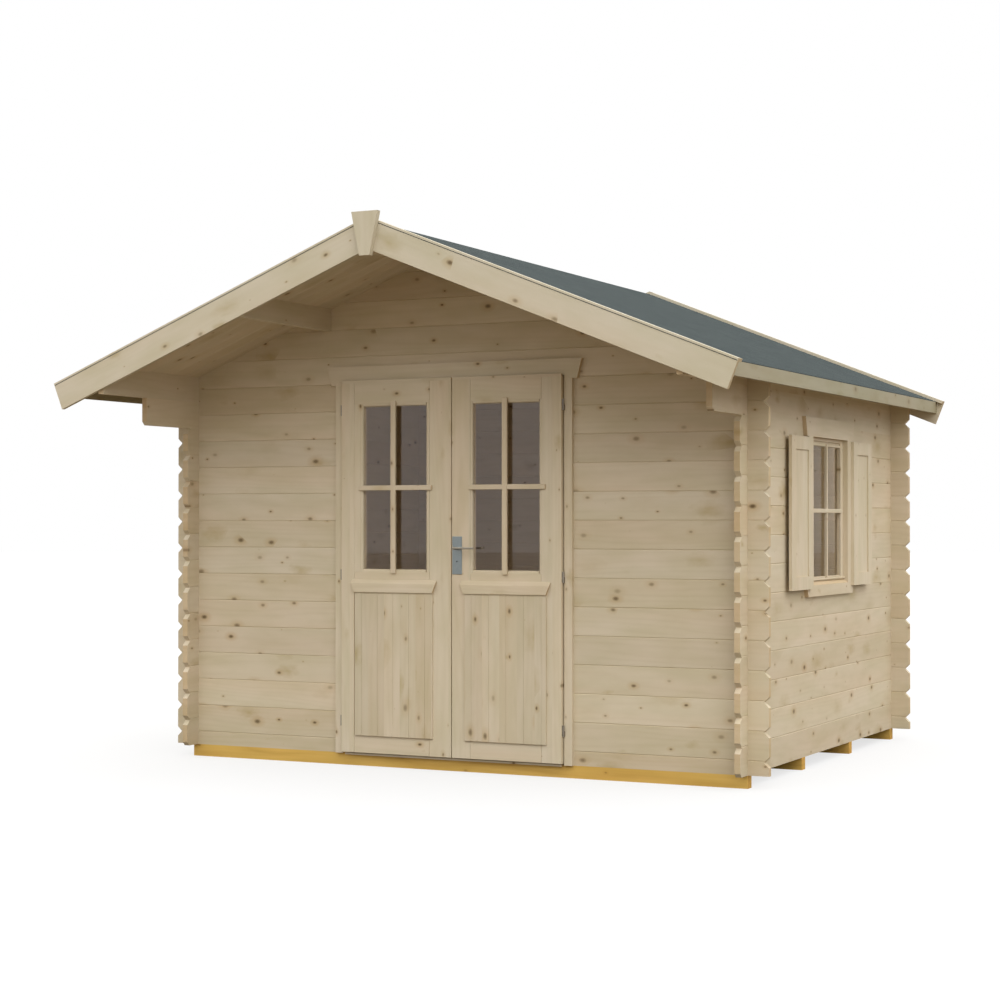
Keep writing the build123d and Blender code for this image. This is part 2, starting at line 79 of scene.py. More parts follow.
def any_ray(tree, *kinds):
    path = add_node(tree, "ShaderNodeLightPath")
    found = path.outputs[kinds[0]]
    for kind in kinds[1:]:
        either = add_node(tree, "ShaderNodeMath", operation="MAXIMUM")
        tree.links.new(found, either.inputs[0])
        tree.links.new(path.outputs[kind], either.inputs[1])
        found = either.outputs[0]
    return found


white = (1.0, 1.0, 1.0, 1.0)
cloud_light, cloud_strength = (1.0, 0.99, 0.97, 1.0), 0.77
sky_world = bpy.data.worlds.new("overcast_sky")
bpy.context.scene.world = sky_world
sky = clear_tree(sky_world)
sky_light = add_node(sky, "ShaderNodeBackground", in_0=cloud_light, in_1=cloud_strength)
sky_white = add_node(sky, "ShaderNodeBackground", in_0=white, in_1=1.0)
sky_mix = add_node(sky, "ShaderNodeMixShader")
sky_out = add_node(sky, "ShaderNodeOutputWorld")
seen_sky = any_ray(sky, "Is Camera Ray", "Is Glossy Ray", "Is Transmission Ray")
sky.links.new(seen_sky, sky_mix.inputs[0])
sky.links.new(sky_light.outputs[0], sky_mix.inputs[1])
sky.links.new(sky_white.outputs[0], sky_mix.inputs[2])
sky.links.new(sky_mix.outputs[0], sky_out.inputs[0])

cloud_spread = 100.0
for name, energy, lean_front, lean_right in (
    ("bright_zenith", 2.9, 21.0, 22.0),
    ("rear_fill", 0.55, -48.0, -40.0),
):
    sky_part_data = bpy.data.lights.new(name, "SUN")
    sky_part_data.energy = energy
    sky_part_data.angle = radians(cloud_spread)
    sky_part_data.color = (1.0, 1.0, 0.99)
    sky_part = bpy.data.objects.new(name, sky_part_data)
    sky_part.rotation_euler = (radians(lean_front), radians(lean_right), 0.0)
    sky_part.location = (0.0, 0.0, 8.0)
    bpy.context.scene.collection.objects.link(sky_part)

indoor_tint = (1.0, 0.88, 0.72)
room_glow_data = bpy.data.lights.new("daylight_in_room", "POINT")
room_glow_data.energy = 1.7
room_glow_data.shadow_soft_size = 0.25
window_glow_data = bpy.data.lights.new("daylight_behind_window", "AREA")
window_glow_data.energy = 1.15
window_glow_data.shape = "RECTANGLE"
window_glow_data.size = 0.08
window_glow_data.size_y = 1.0
for glow_data, place, turn_x in (
    (room_glow_data, (0.0, 0.30, 1.50), 0.0),
    (window_glow_data, (1.40, 1.29, 1.28), 90.0),
):
    glow_data.color = indoor_tint
    glow = bpy.data.objects.new(glow_data.name, glow_data)
    glow.location = place
    glow.rotation_euler = (radians(turn_x), 0.0, 0.0)
    for seen_by in ("camera", "glossy", "transmission"):
        setattr(glow, "visible_" + seen_by, False)
    bpy.context.scene.collection.objects.link(glow)

ground_reach = 72.0
ground_earth = (0.205, 0.165, 0.122, 1.0)
shadow_grey, shadow_lift = (0.22, 0.22, 0.22, 1.0), 0.72
ground_mesh = bmesh.new()
bmesh.ops.create_circle(ground_mesh, cap_ends=True, segments=96, radius=ground_reach)
ground_data = bpy.data.meshes.new("ground")
ground_mesh.to_mesh(ground_data)
ground_mesh.free()
ground = bpy.data.objects.new("ground", ground_data)
bpy.context.scene.collection.objects.link(ground)
ground_paint = bpy.data.materials.new("pale_ground")
ground_tree = clear_tree(ground_paint)
ground_bounce = add_node(ground_tree, "ShaderNodeBsdfDiffuse", in_0=ground_earth)
ground_shadow = add_node(ground_tree, "ShaderNodeBsdfDiffuse", in_0=shadow_grey)
ground_glow = add_node(ground_tree, "ShaderNodeEmission", in_0=white, in_1=shadow_lift)
ground_seen = add_node(ground_tree, "ShaderNodeAddShader")
ground_mix = add_node(ground_tree, "ShaderNodeMixShader")
ground_out = add_node(ground_tree, "ShaderNodeOutputMaterial")
seen_ground = any_ray(ground_tree, "Is Camera Ray", "Is Transmission Ray")
ground_tree.links.new(ground_shadow.outputs[0], ground_seen.inputs[0])
ground_tree.links.new(ground_glow.outputs[0], ground_seen.inputs[1])
ground_tree.links.new(seen_ground, ground_mix.inputs[0])
ground_tree.links.new(ground_bounce.outputs[0], ground_mix.inputs[1])
ground_tree.links.new(ground_seen.outputs[0], ground_mix.inputs[2])
ground_tree.links.new(ground_mix.outputs[0], ground_out.inputs[0])
ground_data.materials.append(ground_paint)


# Log walls: planed, untreated spruce logs stacked tongue in groove, each with its
# own tone, growth rings and small brown knots. The logs cross at the corners, and
# their sawn ends show as darker end grain.
def spruce_grain():
    grain = bpy.data.node_groups.new("sawn_timber", "ShaderNodeTree")
    face = grain.interface
    for name in ("Along", "Across", "Depth", "Board", "Seed", "Knots", "Rings", "Spread", "End"):
        face.new_socket(name, in_out="INPUT", socket_type="NodeSocketFloat")
    for name in ("Pale", "Ring", "Knot"):
        face.new_socket(name, in_out="INPUT", socket_type="NodeSocketColor")
    face.new_socket("Color", in_out="OUTPUT", socket_type="NodeSocketColor")
    for name in ("Roughness", "Height"):
        face.new_socket(name, in_out="OUTPUT", socket_type="NodeSocketFloat")
    way = add_node(grain, "NodeGroupInput")
    out = add_node(grain, "NodeGroupOutput")

    def maths(operation, a, b=None, c=None, clamp=False):
        made = add_node(grain, "ShaderNodeMath", operation=operation, use_clamp=clamp)
        for place, value in enumerate((a, b, c)):
            if value is None:
                continue
            if isinstance(value, (int, float)):
                made.inputs[place].default_value = value
            else:
                grain.links.new(value, made.inputs[place])
        return made.outputs[0]

    def mixed(blend, factor, a, b):
        made = add_node(grain, "ShaderNodeMix", data_type="RGBA", blend_type=blend)
        for place, value in ((0, factor), (6, a), (7, b)):
            if isinstance(value, (int, float, tuple)):
                made.inputs[place].default_value = value
            else:
                grain.links.new(value, made.inputs[place])
        return made.outputs[2]

    def stretched(across_scale, along_scale, depth_scale=1.0):
        made = add_node(grain, "ShaderNodeCombineXYZ")
        grain.links.new(maths("MULTIPLY", along, along_scale), made.inputs[0])
        grain.links.new(maths("MULTIPLY", across, across_scale), made.inputs[1])
        grain.links.new(maths("MULTIPLY", way.outputs["Depth"], depth_scale), made.inputs[2])
        return made.outputs[0]

    def noise(place, detail):
        made = add_node(grain, "ShaderNodeTexNoise")
        made.inputs["Scale"].default_value = 1.0
        made.inputs["Detail"].default_value = detail
        grain.links.new(place, made.inputs["Vector"])
        return made.outputs["Fac"]

    def cells(place):
        made = add_node(grain, "ShaderNodeTexVoronoi", voronoi_dimensions="2D")
        made.inputs["Scale"].default_value = 1.0
        grain.links.new(place, made.inputs["Vector"])
        lots = add_node(grain, "ShaderNodeSeparateColor")
        grain.links.new(made.outputs["Color"], lots.inputs[0])
        return made.outputs["Distance"], lots.outputs[0], lots.outputs[1]

    # Pattern scales: across the board, along it and, for streaks, into its depth.
    slow_scale, cloud_scale, streak_scale = (5.0, 0.55), (11.0, 3.4), (58.0, 2.2, 58.0)
    knot_scale, knot_fray_scale = (8.4, 5.2), (90.0, 60.0)
    smudge_scale, smudge_fray_scale = (6.6, 3.3), (34.0, 20.0)

    # Every board draws its own tone, warmth and place along the tree.
    board = maths("FLOOR", maths("DIVIDE", way.outputs["Across"], way.outputs["Board"]))
    picker = add_node(grain, "ShaderNodeTexWhiteNoise", noise_dimensions="1D")
    grain.links.new(maths("ADD", board, way.outputs["Seed"]), picker.inputs["W"])
    draws = add_node(grain, "ShaderNodeSeparateColor")
    grain.links.new(picker.outputs["Color"], draws.inputs[0])
    tone, shift, warmth = draws.outputs
    slide_along, slide_across = 37.0, 3.1
    along = maths("MULTIPLY_ADD", shift, slide_along, way.outputs["Along"])
    across = maths("MULTIPLY_ADD", warmth, slide_across, way.outputs["Across"])

    # Growth rings wander slowly, with fine streaks of late wood between them.
    rings_per_metre, ring_wander, ring_sharpness = 26.0, 9.0, 2.0
    ring_share, streak_share = 0.42, 0.75
    slow = noise(stretched(*slow_scale), detail=2.0)
    cloud = noise(stretched(*cloud_scale), detail=3.0)
    streak = noise(stretched(*streak_scale), detail=3.0)
    phase = maths("MULTIPLY_ADD", slow, ring_wander, maths("MULTIPLY", across, rings_per_metre))
    wave = maths("MULTIPLY", maths("PINGPONG", phase, 0.5), 2.0)
    ring = maths("POWER", wave, ring_sharpness)
    ring_mask = maths(
        "MULTIPLY",
        maths("MULTIPLY_ADD", ring, ring_share, maths("MULTIPLY", streak, streak_share)),
        way.outputs["Rings"],
    )

    # Knots: a dark, ragged heart inside a wider warm halo.
    knotless_share, knot_size, knot_fray = 0.36, 0.150, 0.022
    heart_reach, heart_fade, heart_edge = 1.25, 0.85, 0.0008
    halo_reach, halo_fade, halo_edge = 3.2, 2.8, 0.001
    knot_depth_spread, knot_depth_least, halo_strength = 0.60, 0.30, 0.85
    knot_distance, knot_draw, knot_depth_draw = cells(stretched(*knot_scale))
    radius = maths(
        "MULTIPLY",
        maths("SUBTRACT", knot_draw, knotless_share, clamp=True),
        maths("MULTIPLY", way.outputs["Knots"], knot_size),
    )
    fray = noise(stretched(*knot_fray_scale), detail=2.0)
    ragged = maths("MULTIPLY_ADD", fray, knot_fray, knot_distance)
    span = maths("SUBTRACT", ragged, knot_fray / 2)
    knot = maths(
        "DIVIDE",
        maths("SUBTRACT", maths("MULTIPLY", radius, heart_reach), span),
        maths("MULTIPLY_ADD", radius, heart_fade, heart_edge),
        clamp=True,
    )
    halo = maths(
        "DIVIDE",
        maths("SUBTRACT", maths("MULTIPLY", radius, halo_reach), span),
        maths("MULTIPLY_ADD", radius, halo_fade, halo_edge),
        clamp=True,
    )
    knot_depth = maths("MULTIPLY_ADD", knot_depth_draw, knot_depth_spread, knot_depth_least)

    # Smudges: wider olive patches where a knot lies just under the face.
    clean_share, smudge_size, smudge_fray = 0.45, 0.75, 0.34
    smudge_core, smudge_edge = 0.15, 0.05
    smudge_depth_spread, smudge_depth_least = 0.7, 0.2
    smudge_distance, smudge_draw, smudge_depth_draw = cells(stretched(*smudge_scale))
    breadth = maths(
        "MULTIPLY",
        maths("SUBTRACT", smudge_draw, clean_share, clamp=True),
        maths("MULTIPLY", way.outputs["Knots"], smudge_size),
    )
    torn = noise(stretched(*smudge_fray_scale), detail=3.0)
    frayed = maths("MULTIPLY_ADD", torn, smudge_fray, smudge_distance)
    smudge = maths(
        "DIVIDE",
        maths("SUBTRACT", maths("ADD", breadth, smudge_core), frayed),
        maths("ADD", breadth, smudge_edge),
        clamp=True,
    )
    smudge_depth = maths("MULTIPLY_ADD", smudge_depth_draw, smudge_depth_spread,
                         smudge_depth_least)

    # Colours are laid over each other from the plain wood up to the knots.
    warm_tint = (0.95, 0.915, 0.82, 1.0)
    dark_tint = (0.82, 0.81, 0.80, 1.0)
    cloud_tint = (0.915, 0.92, 0.86, 1.0)
    blush_tint = (1.0, 0.955, 0.93, 1.0)
    smudge_tint = (0.70, 0.62, 0.40, 1.0)
    halo_tint = (0.80, 0.66, 0.46, 1.0)
    end_tint = (0.93, 0.84, 0.72, 1.0)
    contrast, cloud_floor, blush_floor = 3.4, -1.3, -1.4
    ring_gloss, planed_roughness, knot_sink = -0.10, 0.62, -0.4
    spread = way.outputs["Spread"]
    body = mixed("MIX", ring_mask, way.outputs["Pale"], way.outputs["Ring"])
    warm = mixed("MULTIPLY", maths("MULTIPLY", warmth, spread), body, warm_tint)
    toned = mixed("MULTIPLY", maths("MULTIPLY", tone, spread), warm, dark_tint)
    cloudy = maths("MULTIPLY_ADD", cloud, contrast, cloud_floor, clamp=True)
    clouded = mixed("MULTIPLY", cloudy, toned, cloud_tint)
    blush = maths("MULTIPLY_ADD", slow, contrast, blush_floor, clamp=True)
    blushed = mixed("MULTIPLY", blush, clouded, blush_tint)
    smudged = mixed("MULTIPLY", maths("MULTIPLY", smudge, smudge_depth), blushed, smudge_tint)
    halo_depth = maths("MULTIPLY", knot_depth, halo_strength)
    haloed = mixed("MULTIPLY", maths("MULTIPLY", halo, halo_depth), smudged, halo_tint)
    knotted = mixed("MIX", maths("MULTIPLY", knot, knot_depth), haloed, way.outputs["Knot"])
    ended = mixed("MULTIPLY", way.outputs["End"], knotted, end_tint)
    grain.links.new(ended, out.inputs["Color"])
    dulled = maths("MULTIPLY_ADD", ring_mask, ring_gloss, planed_roughness)
    grain.links.new(dulled, out.inputs["Roughness"])
    grain.links.new(maths("MULTIPLY_ADD", knot, knot_sink, ring_mask), out.inputs["Height"])
    return grain


timber_grain = spruce_grain()
spruce_pale = (0.705, 0.622, 0.482, 1.0)
spruce_ring = (0.605, 0.513, 0.366, 1.0)
spruce_knot = (0.105, 0.068, 0.032, 1.0)
sawn_end_cosine = 0.8
grain_depth = 0.0006
planed_gloss = 0.25


def timber(name, along, across, seed, board, start=0.0, knots=1.0, rings=0.5, spread=0.5,
           lean=0.0, pale=spruce_pale, ring=spruce_ring, knot=spruce_knot, relief=0.35):
    made = bpy.data.materials.new(name)
    tree = clear_tree(made)
    where = add_node(tree, "ShaderNodeTexCoord")
    turn = add_node(tree, "ShaderNodeMapping")
    turn.inputs["Rotation"].default_value = (0.0, radians(lean), 0.0)
    first_edge = tuple(-start if axis == across else 0.0 for axis in "XYZ")
    turn.inputs["Location"].default_value = first_edge
    parts = add_node(tree, "ShaderNodeSeparateXYZ")
    facing = add_node(tree, "ShaderNodeMapping", vector_type="NORMAL")
    facing.inputs["Rotation"].default_value = (0.0, radians(lean), 0.0)
    sides = add_node(tree, "ShaderNodeSeparateXYZ")
    sawn = add_node(tree, "ShaderNodeMath", operation="ABSOLUTE")
    sawn_end = add_node(tree, "ShaderNodeMath", operation="GREATER_THAN", in_1=sawn_end_cosine)
    grain = add_node(tree, "ShaderNodeGroup", node_tree=timber_grain)
    bump = add_node(tree, "ShaderNodeBump")
    wood = add_node(tree, "ShaderNodeBsdfPrincipled")
    out = add_node(tree, "ShaderNodeOutputMaterial")
    depth = ({"X", "Y", "Z"} - {along, across}).pop()
    tree.links.new(where.outputs["Object"], turn.inputs["Vector"])
    tree.links.new(turn.outputs[0], parts.inputs[0])
    tree.links.new(parts.outputs[along], grain.inputs["Along"])
    tree.links.new(parts.outputs[across], grain.inputs["Across"])
    tree.links.new(parts.outputs[depth], grain.inputs["Depth"])
    tree.links.new(where.outputs["Normal"], facing.inputs["Vector"])
    tree.links.new(facing.outputs[0], sides.inputs[0])
    tree.links.new(sides.outputs[along], sawn.inputs[0])
    tree.links.new(sawn.outputs[0], sawn_end.inputs[0])
    tree.links.new(sawn_end.outputs[0], grain.inputs["End"])
    for key, value in (("Board", board), ("Seed", seed), ("Knots", knots), ("Rings", rings),
                       ("Spread", spread), ("Pale", pale), ("Ring", ring), ("Knot", knot)):
        grain.inputs[key].default_value = value
    bump.inputs["Strength"].default_value = relief
    bump.inputs["Distance"].default_value = grain_depth
    wood.inputs["Specular IOR Level"].default_value = planed_gloss
    tree.links.new(grain.outputs["Color"], wood.inputs["Base Color"])
    tree.links.new(grain.outputs["Roughness"], wood.inputs["Roughness"])
    tree.links.new(grain.outputs["Height"], bump.inputs["Height"])
    tree.links.new(bump.outputs[0], wood.inputs["Normal"])
    tree.links.new(wood.outputs[0], out.inputs[0])
    return made


def finish_node(node, material):
    nodes[node].data.materials.clear()
    nodes[node].data.materials.append(material)


log_cover = 0.135
log_sole = 0.060
front_start = log_sole + log_cover / 2
front_log_spruce = timber("front_log_spruce", "X", "Z", seed=3.0, board=log_cover,
                          start=front_start)
rear_log_spruce = timber("rear_log_spruce", "X", "Z", seed=41.0, board=log_cover,
                         start=front_start, knots=0.6)
left_log_spruce = timber("left_log_spruce", "Y", "Z", seed=77.0, board=log_cover, start=log_sole)
right_log_spruce = timber("right_log_spruce", "Y", "Z", seed=113.0, board=log_cover,
                          start=log_sole)
for node in ("front_wall_left", "front_wall_right", "front_gable"):
    finish_node(node, front_log_spruce)
finish_node("rear_wall", rear_log_spruce)
for node in ("left_wall", "corbel_log_left", "top_log_left"):
    finish_node(node, left_log_spruce)
for node in ("right_wall", "corbel_log_right", "top_log_right"):
    finish_node(node, right_log_spruce)


# Bearers and floor: sawn battens, pressure treated to a warm yellow, under tongued
# spruce boards that run across the cabin and are nailed down to them.
def plank(bm, lower, upper, edge, finish=0, taper=0.0, rise=0.0):
    lower, upper = Vector(lower), Vector(upper)
    middle = (lower + upper) / 2
    place = Matrix.Translation(middle) @ Matrix.Diagonal((*(upper - lower), 1.0))
    made = bmesh.ops.create_cube(bm, size=1.0, matrix=place)["verts"]
    for vert in made:
        if vert.co.z < middle.z:
            vert.co.x += taper if vert.co.x < middle.x else -taper
        elif vert.co.y > middle.y:
            vert.co.z += rise
    for face in {face for vert in made for face in vert.link_faces}:
        face.material_index = finish
    rims = dict.fromkeys(rim for vert in made for rim in vert.link_edges)
    bmesh.ops.bevel(bm, geom=list(rims), offset=edge, offset_type="OFFSET", affect="EDGES",
                    segments=2, profile=0.5, material=-1)


def piece(name, bm, materials, body, replaced=()):
    data = bpy.data.meshes.new(name)
    bmesh.ops.recalc_face_normals(bm, faces=bm.faces)
    bm.to_mesh(data)
    bm.free()
    for material in materials:
        data.materials.append(material)
    made = bpy.data.objects.new(name, data)
    bpy.context.scene.collection.objects.link(made)
    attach(made, body)
    if replaced:
        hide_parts(*replaced)
    return made


bearer_timber = timber("treated_bearer", "X", "Z", seed=7.0, board=0.30, knots=0.9, rings=0.8,
                       spread=0.6, relief=0.7, pale=(0.860, 0.585, 0.165, 1.0),
                       ring=(0.590, 0.350, 0.075, 1.0), knot=(0.150, 0.075, 0.020, 1.0))
finish_node("bearers", bearer_timber)

floor_low, floor_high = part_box("floor")
floor_count = 26
floor_arris = 0.0015
floor_pitch = (floor_high.y - floor_low.y) / floor_count
floor_spruce = timber("floor_spruce", "X", "Y", seed=19.0, board=floor_pitch, start=floor_low.y)
floor_boards = bmesh.new()
for number in range(floor_count):
    foot = floor_low.y + number * floor_pitch
    plank(floor_boards, (floor_low.x, foot, floor_low.z),
          (floor_high.x, foot + floor_pitch, floor_high.z), floor_arris)
piece("floor_boards", floor_boards, (floor_spruce,), "building", ("floor",))


# Roof carcass: purlins, fascias, bargeboards and tongued roof boards of planed
# spruce. The boards are nailed down the slope, and their V joints show from below.
roof_pitch = 21.7
purlin_spruce = timber("purlin_spruce", "Y", "Z", seed=23.0, board=0.30, knots=0.8, rings=0.4)
for node in ("ridge_purlin", "purlin_left", "purlin_right"):
    finish_node(node, purlin_spruce)
deck_low, deck_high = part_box("roof_boards_right")
deck_thick = 0.018 / cos(radians(roof_pitch))
deck_vee = 0.003
ridge_height = deck_high.z - deck_thick
board_count = 35
board_pitch = (deck_high.y - deck_low.y) / board_count
barge_pale = (0.608, 0.548, 0.430, 1.0)
barge_ring = (0.535, 0.462, 0.335, 1.0)
# The fascias get darker colours than the bargeboards: painted shade for the felt that overhangs
# them.
fascia_shaded_pale = (0.378, 0.351, 0.253, 1.0)
fascia_shaded_ring = (0.312, 0.269, 0.170, 1.0)


def down_the_slope(bm, hand):
    fall = -hand * tan(radians(roof_pitch))
    lean = Matrix(((1, 0, 0, 0), (0, 1, 0, 0), (fall, 0, 1, ridge_height), (0, 0, 0, 1)))
    bmesh.ops.transform(bm, matrix=lean, verts=bm.verts)


for side, hand in (("left", -1), ("right", 1)):
    slope_lean = -hand * roof_pitch
    deck_spruce = timber("roof_board_spruce_" + side, "X", "Y", seed=29.0 + hand,
                         board=board_pitch, start=deck_low.y, lean=slope_lean, rings=0.4)
    deck = bmesh.new()
    west, east = sorted((0.0, hand * deck_high.x))
    for number in range(board_count):
        foot = deck_low.y + number * board_pitch
        plank(deck, (west, foot, 0.0), (east, foot + board_pitch, deck_thick), deck_vee)
    down_the_slope(deck, hand)
    piece("roof_boarding_" + side, deck, (deck_spruce,), "building",
          ("roof_boards_" + side,))
    barge_spruce = timber("barge_spruce_" + side, "X", "Z", seed=31.0 + hand, board=4.0,
                          lean=slope_lean, rings=0.35, spread=0.1,
                          pale=barge_pale, ring=barge_ring)
    finish_node("bargeboard_front_" + side, barge_spruce)
    finish_node("bargeboard_rear_" + side, barge_spruce)
    fascia_shaded_spruce = timber("fascia_shaded_spruce_" + side, "Y", "Z", seed=37.0 + hand, board=0.5,
                           knots=1.2, rings=0.4, pale=fascia_shaded_pale, ring=fascia_shaded_ring)
    finish_node("fascia_" + side, fascia_shaded_spruce)
keystone_spruce = timber("keystone_spruce", "Z", "X", seed=43.0, board=1.0, knots=0.0,
                         spread=0.1, pale=barge_pale, ring=barge_ring)
finish_node("keystone", keystone_spruce)


# Roofing felt: bitumen felt with blue-green mineral grit, one sheet nailed over the
# boards of each slope. Its cut edge shows as a dark line under the cap strip of the
# front bargeboards.
grit_scale, weather_scale = 260.0, 9.0
grit_low, grit_high = 0.32, 0.68
weather_low, weather_high = 0.36, 0.66
grit_dark, grit_pale = (0.0086, 0.0146, 0.0155, 1.0), (0.0705, 0.0911, 0.0886, 1.0)
weather_tint = (0.72, 0.76, 0.79, 1.0)
felt = bpy.data.materials.new("mineral_felt")
felt_tree = clear_tree(felt)
felt_where = add_node(felt_tree, "ShaderNodeTexCoord")
felt_grit = add_node(felt_tree, "ShaderNodeTexNoise")
felt_grit.inputs["Scale"].default_value = grit_scale
felt_grit.inputs["Detail"].default_value = 3.0
felt_grit_range = add_node(felt_tree, "ShaderNodeMapRange", in_1=grit_low, in_2=grit_high)
felt_grit_colour = add_node(felt_tree, "ShaderNodeMix", data_type="RGBA",
                            in_6=grit_dark, in_7=grit_pale)
felt_weather = add_node(felt_tree, "ShaderNodeTexNoise")
felt_weather.inputs["Scale"].default_value = weather_scale
felt_weather.inputs["Detail"].default_value = 5.0
felt_weather_range = add_node(felt_tree, "ShaderNodeMapRange",
                              in_1=weather_low, in_2=weather_high)
felt_colour = add_node(felt_tree, "ShaderNodeMix", data_type="RGBA", blend_type="MULTIPLY",
                       in_7=weather_tint)
felt_bump = add_node(felt_tree, "ShaderNodeBump")
felt_bump.inputs["Strength"].default_value = 0.5
felt_bump.inputs["Distance"].default_value = 0.0012
felt_skin = add_node(felt_tree, "ShaderNodeBsdfPrincipled")
felt_skin.inputs["Roughness"].default_value = 0.92
felt_skin.inputs["Specular IOR Level"].default_value = 0.2
felt_out = add_node(felt_tree, "ShaderNodeOutputMaterial")
for source, target in (
    (felt_where.outputs["Object"], felt_grit.inputs["Vector"]),
    (felt_where.outputs["Object"], felt_weather.inputs["Vector"]),
    (felt_grit.outputs["Fac"], felt_grit_range.inputs["Value"]),
    (felt_grit_range.outputs[0], felt_grit_colour.inputs[0]),
    (felt_weather.outputs["Fac"], felt_weather_range.inputs["Value"]),
    (felt_weather_range.outputs[0], felt_colour.inputs[0]),
    (felt_grit_colour.outputs[2], felt_colour.inputs[6]),
    (felt_colour.outputs[2], felt_skin.inputs["Base Color"]),
    (felt_grit.outputs["Fac"], felt_bump.inputs["Height"]),
    (felt_bump.outputs[0], felt_skin.inputs["Normal"]),
    (felt_skin.outputs[0], felt_out.inputs[0]),
):
    felt_tree.links.new(source, target)
finish_node("roof_felt_left", felt)
finish_node("roof_felt_right", felt)

barge_low, barge_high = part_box("bargeboard_front_right")
cap_thick, tail_cut = 0.015, 0.37
edge_arris, edge_proud, edge_lift, edge_top = 0.0004, 0.001, 0.0035, 0.0065
cap_rise = cap_thick / cos(radians(roof_pitch))
cap_foot = barge_high.z - cap_rise - ridge_height
edge_reach = barge_high.x - cap_thick * tail_cut
edge_front = barge_low.y - edge_proud
edge_foot, edge_head = cap_foot + edge_lift, cap_foot + edge_top
for side, hand in (("left", -1), ("right", 1)):
    edge = bmesh.new()
    west, east = sorted((0.0, hand * edge_reach))
    plank(edge, (west, edge_front, edge_foot), (east, deck_low.y, edge_head), edge_arris)
    down_the_slope(edge, hand)
    piece("felt_edge_" + side, edge, (felt,), "building")


# Door frame: casings, linings and threshold of planed spruce, grooved over the cut
# ends of the wall logs, with a header board whose ends are cut on the slant.
upright_spruce = timber("upright_spruce", "Z", "X", seed=53.0, board=2.0, knots=0.5, spread=0.15)
level_spruce = timber("level_spruce", "X", "Z", seed=59.0, board=0.6, knots=0.6, spread=0.15)
for node in ("door_jamb_left", "door_jamb_right"):
    finish_node(node, upright_spruce)
for node in ("door_head", "door_header", "door_threshold"):
    finish_node(node, level_spruce)


# Door leaves: framed spruce stiles and rails round a beaded pane, a raised panel of
# V-jointed boards below, a drip board over it, and bars planted across the glass.
def bead(bm, lower, upper, slope_at, slope, finish):
    lower, upper = Vector(lower), Vector(upper)
    place = Matrix.Translation((lower + upper) / 2) @ Matrix.Diagonal((*(upper - lower), 1.0))
    made = bmesh.ops.create_cube(bm, size=1.0, matrix=place)["verts"]
    for face in {face for vert in made for face in vert.link_faces}:
        face.material_index = finish
    axis, side = slope_at
    limit = upper[axis] if side > 0 else lower[axis]
    inner = [vert for vert in made
             if abs(vert.co[axis] - limit) < 1e-5 and abs(vert.co.y - lower.y) < 1e-5]
    rim = [edge for edge in inner[0].link_edges if edge.other_vert(inner[0]) in inner]
    bmesh.ops.bevel(bm, geom=rim, offset=slope, offset_type="OFFSET", affect="EDGES",
                    segments=3, profile=0.5, material=-1)


leaf_stile_spruce = timber("leaf_stile_spruce", "Z", "X", seed=61.0, board=0.11, knots=0.55,
                           spread=0.20)
leaf_rail_spruce = timber("leaf_rail_spruce", "X", "Z", seed=67.0, board=0.35, knots=0.6,
                          spread=0.2)
stile, rail, panel = 0, 1, 2
leaf_thick, leaf_arris = 0.040, 0.0015
glass_lap, glass_half, bead_wide = 0.010, 0.175, 0.013
joint_gap = 0.0006
panel_foot, drip_foot, drip_head = 0.153, 0.856, 0.900
panel_half, panel_proud, panel_vee, panel_board_count = 0.216, 0.010, 0.0026, 6
backing_inset, backing_lap, backing_arris, housing = 0.004, 0.01, 0.001, 0.002
drip_half, drip_proud, drip_slant, drip_root = 0.237, 0.018, 0.020, 0.001
weather_lap, weather_rise, weather_thick = 0.004, 0.012, 0.010
front_bead_sink, front_bead_slope = 0.002, 0.009
back_bead_sink, back_bead_slope = 0.003, 0.001
trim_arris, filler_arris = 0.002, 0.0004
bar_half, bar_thick, bar_foot_lap, bar_head_lap = 0.0135, 0.013, 0.020, 0.025
cross_level, cross_half, cross_sink = 1.367, 0.012, 0.002
cross_west, cross_east = 0.194, 0.211
